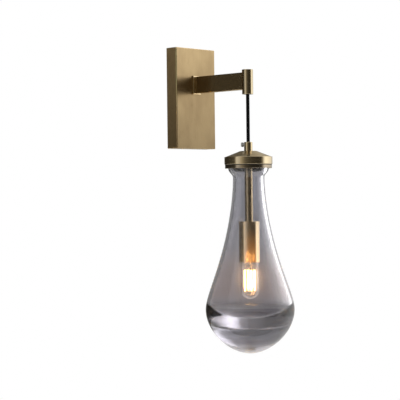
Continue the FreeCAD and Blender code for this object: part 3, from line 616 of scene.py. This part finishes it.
# The glass. A blown drop of smoke-tinted clear glass, with a stepped lip, an even wall and
# a thick solid foot. It is tinted through its whole thickness and has a faint drawn ripple.
def lathe(name, outline, steps, sharp_degrees=30.0):
    """Turns an outline of (radius, height) points, in millimetres, that starts and ends on the hanging axis."""
    work = bmesh.new()
    rings = []
    for radius, height in outline:
        if radius == 0:
            rings.append([work.verts.new((0, HANG_Y, height / 1000))])
            continue
        ring = []
        for k in range(steps):
            turn = 2 * math.pi * k / steps
            reach = radius / 1000
            ring.append(work.verts.new((reach * math.cos(turn), HANG_Y + reach * math.sin(turn), height / 1000)))
        rings.append(ring)
    for first, second in zip(rings, rings[1:]):
        for k in range(steps):
            after = (k + 1) % steps
            corners = [first[k % len(first)], first[after % len(first)],
                       second[after % len(second)], second[k % len(second)]]
            work.faces.new(list(dict.fromkeys(corners))).smooth = True
    bmesh.ops.recalc_face_normals(work, faces=work.faces)
    limit = math.radians(sharp_degrees)
    for edge in work.edges:
        edge.smooth = len(edge.link_faces) == 2 and edge.calc_face_angle(0) < limit
    mesh = bpy.data.meshes.new(name)
    work.to_mesh(mesh)
    work.free()
    return mesh


def drawn(handles, count, end_share=1.0):
    """Points along a smooth curve drawn from its handles, down to a share of its run."""
    degree = len(handles) - 1
    points = []
    for k in range(count + 1):
        t = end_share * k / count
        shares = [math.comb(degree, i) * t ** i * (1 - t) ** (degree - i) for i in range(degree + 1)]
        points.append(tuple(sum(s * h[axis] for s, h in zip(shares, handles)) for axis in (0, 1)))
    return points


def shoulder(first, top, second, bottom, pulls):
    """A smooth step from one radius at the top to another at the bottom."""
    return drawn(((first, top), (first, top - pulls[0]), (second, bottom + pulls[1]), (second, bottom)), 14)


lip_top, lip_end, neck_top, widest, foot_end = -94.0, -103.8, -117.0, -302.0, -363.9
lip_radius, neck_radius, wide_radius = 28.5, 22.1, 62.5
lip_inner_radius = 23.5
wall = 4.0
flank_height = neck_top - widest
foot_height = widest - foot_end
cavity_floor = -330.0
cavity_side_share = 0.89
side_pull = 8.0
floor_pull = 40.0


def flank_line(neck, wide, end_share=1.0):
    return drawn(((neck, neck_top), (neck, neck_top - 0.19 * flank_height),
                  (neck + 0.25 * (wide - neck), neck_top - 0.63 * flank_height),
                  (wide, widest + 0.14 * flank_height), (wide, widest)), 72, end_share)


lip_outside = shoulder(lip_radius, lip_end, neck_radius, neck_top, pulls=(5.676, 5.676))
foot_outside = drawn(((wide_radius, widest), (wide_radius, widest - 0.50 * foot_height),
                      (0.48 * wide_radius, foot_end), (0, foot_end)), 48)
outside = [(lip_radius, lip_top)] + lip_outside + flank_line(neck_radius, wide_radius)[1:] + foot_outside[1:]

cavity_side = flank_line(neck_radius - wall, wide_radius - wall, cavity_side_share)
edge_radius, edge_height = cavity_side[-1]
last_lean = (edge_radius - cavity_side[-2][0]) / (cavity_side[-2][1] - edge_height)
bowl = drawn(((edge_radius, edge_height), (edge_radius + side_pull * last_lean, edge_height - side_pull),
              (edge_radius + 2 * side_pull * last_lean, edge_height - 2 * side_pull),
              (floor_pull, cavity_floor), (0, cavity_floor)), 64)
lip_inside = shoulder(lip_inner_radius, lip_end, neck_radius - wall, neck_top, pulls=(5.0, 6.1))
inside = [(lip_inner_radius, lip_top)] + lip_inside + cavity_side[1:] + bowl[1:]
glass_mesh = lathe("smoked_glass_drop", list(reversed(outside)) + inside, steps=224)

glass_ior = 1.5
haze_share = 0.075
smoke_warms = (-0.13, -0.25)
glass = Finish("smoked_glass")
smoke = glass.blend(glass.spread(glass.height(), *smoke_warms), rgb(0.655, 0.65, 0.69), rgb(0.655, 0.64, 0.665))
# Near the bulb the smoke is painted warmer, as a painted glow of the bulb's light.
painted_bulb_warmth = glass.zone(begins=(-0.205, -0.262), ends=(-0.298, -0.28))
smoke = glass.blend(painted_bulb_warmth, smoke, rgb(0.687, 0.632, 0.634))
in_the_foot = glass.zone(begins=(-0.3235, -0.3262), ends=(-0.352, -0.344))
smoke = glass.blend(in_the_foot, smoke, rgb(0.28, 0.27, 0.315))
mirrored_before = glass.spread(glass.ray()["Glossy Depth"], 0.4, 0.6)
smoke = glass.blend(mirrored_before, smoke, rgb(0.84, 0.84, 0.85))
ripple = glass.grain((26, 26, 9), detail=1.5, rough=0.4)
glass.set(Base_Color=smoke, Roughness=0.0, IOR=glass_ior, Transmission_Weight=1.0,
          Normal=glass.relief(ripple, depth=0.0006, strength=0.12))
haze = glass.node("ShaderNodeBsdfPrincipled", Base_Color=smoke, Roughness=0.20, IOR=glass_ior,
                  Transmission_Weight=1.0)
glass.lets_lamps_through(glass.mixed(haze_share, glass.shader.outputs[0], haze.outputs[0]), rgb(0.95, 0.95, 0.95))
depth_tint = glass.node("ShaderNodeVolumeAbsorption", Color=rgb(0.30, 0.27, 0.33), Density=8.0)
glass.feed(glass.output.inputs["Volume"], depth_tint.outputs[0])
glass_mesh.materials.append(glass.material)
glass_piece = add_piece("smoked_glass_drop", glass_mesh, "glass")
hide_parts("glass_drop")


# The bulb. A clear tube bulb with a nickel screw base, and four lit filament rods held by
# thin wires round a glass mount. Each rod is a row of small round chips.
nickel = Finish("nickel_base")
nickel_lines = nickel.grain((60, 60, 2500), detail=3.0)
nickel.set(
    Base_Color=nickel.blend(nickel_lines, rgb(0.62, 0.59, 0.53), rgb(0.72, 0.70, 0.65)),
    Metallic=1.0,
    Roughness=nickel.spread(nickel_lines, 0.3, 0.7, 0.14, 0.24),
    Normal=nickel.relief(nickel_lines, depth=0.000004, strength=0.5),
)
wear(nickel, "bulb_base")
solder = Finish("tinned_contact")
solder_pits = solder.grain((900, 900, 900))
solder.set(
    Base_Color=solder.blend(solder_pits, rgb(0.55, 0.55, 0.56), rgb(0.70, 0.70, 0.71)),
    Metallic=1.0,
    Roughness=solder.spread(solder_pits, 0.3, 0.7, 0.28, 0.45),
    Normal=solder.relief(solder_pits, depth=0.00003, strength=0.5),
)
wear(solder, "bulb_contact")
wear(moulded("black_base_glass", rgb(0.012, 0.012, 0.014), rgb(0.03, 0.03, 0.035), rough=0.12), "bulb_insulator")
wires = aged_brass("support_wires", light=rgb(0.66, 0.64, 0.60), dark=rgb(0.5, 0.48, 0.45), rough=0.22,
                   brush=(900, 900, 900))
wear(wires, "filament_frame")

bulb_wall = 0.8
bulb_neck_radius, bulb_radius = 6.55, 12.45
bulb_mouth, bulb_neck_end, bulb_tube_top, bulb_tube_middle, bulb_tube_end = -218.6, -225.6, -235.6, -255.0, -275.45
dome_steps = 20


def bulb_line(inset):
    """The outline of the bulb's tube from its mouth to its tip, drawn in by a wall or by nothing."""
    neck, tube = bulb_neck_radius - inset, bulb_radius - inset
    line = [(neck, bulb_mouth)] + shoulder(neck, bulb_neck_end, tube, bulb_tube_top, pulls=(3.0, 5.0))
    line += [(tube, bulb_tube_middle), (tube, bulb_tube_end)]
    for k in range(1, dome_steps):
        turn = math.pi / 2 * k / dome_steps
        line.append((tube * math.cos(turn), bulb_tube_end - tube * math.sin(turn)))
    return line + [(0, bulb_tube_end - tube)]


bulb_mesh = lathe("bulb_glass_tube", list(reversed(bulb_line(0.0))) + bulb_line(bulb_wall), steps=96)
tube_glass = Finish("clear_bulb_glass")
tube_glass.set(Base_Color=rgb(0.97, 0.97, 0.97), Roughness=0.0, IOR=glass_ior, Transmission_Weight=1.0,
               Normal=tube_glass.relief(tube_glass.grain((160, 160, 20), detail=1.0), depth=0.0002, strength=0.06))
tube_glass.lets_lamps_through(tube_glass.shader.outputs[0], rgb(0.96, 0.96, 0.96))
bulb_mesh.materials.append(tube_glass.material)
bulb_piece = add_piece("bulb_glass_tube", bulb_mesh, "bulb")
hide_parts("bulb_envelope")
wear(tube_glass, "filament_mount")

unlit_glow = 1.2
chip_pitch = 0.0016
filament = Finish("lit_filament")
chips = filament.sums("SINE", filament.product(filament.height(), 2 * math.pi / chip_pitch))
lit = filament.product(filament.zone(begins=(-0.2766, -0.2700), ends=(-0.2471, -0.2500)),
                       filament.spread(chips, -1, 1, 950.0, 1400.0))
filament.set(
    Base_Color=filament.blend(filament.spread(chips, -1, 1), rgb(0.9, 0.62, 0.16), rgb(1.0, 0.85, 0.45)),
    Roughness=0.45,
    Emission_Color=rgb(1.0, 0.60, 0.24),
    Emission_Strength=filament.sums("ADD", lit, unlit_glow),
)
wear(filament, "led_filaments")

rod_count, rod_circle, rod_turn, rod_foot = 4, 0.007, 59, -0.2722
chips_per_rod, chip_step = 17, 0.00138
chip = small_ball(radius=1.3, height=2.0, sides=14, rings=8)
chip_work = bmesh.new()
for number in range(rod_count):
    turn = math.radians(rod_turn + 360 / rod_count * number)
    foot = (rod_circle * math.cos(turn), HANG_Y + rod_circle * math.sin(turn), rod_foot)
    chip_work.from_mesh(repeated(chip, filament, chips_per_rod, foot, (0, 0, chip_step)))
chip_mesh = bpy.data.meshes.new("filament_chips")
chip_work.to_mesh(chip_mesh)
chip_work.free()
chip_mesh.materials.append(filament.material)
chip_piece = add_piece("filament_chips", chip_mesh, "bulb")
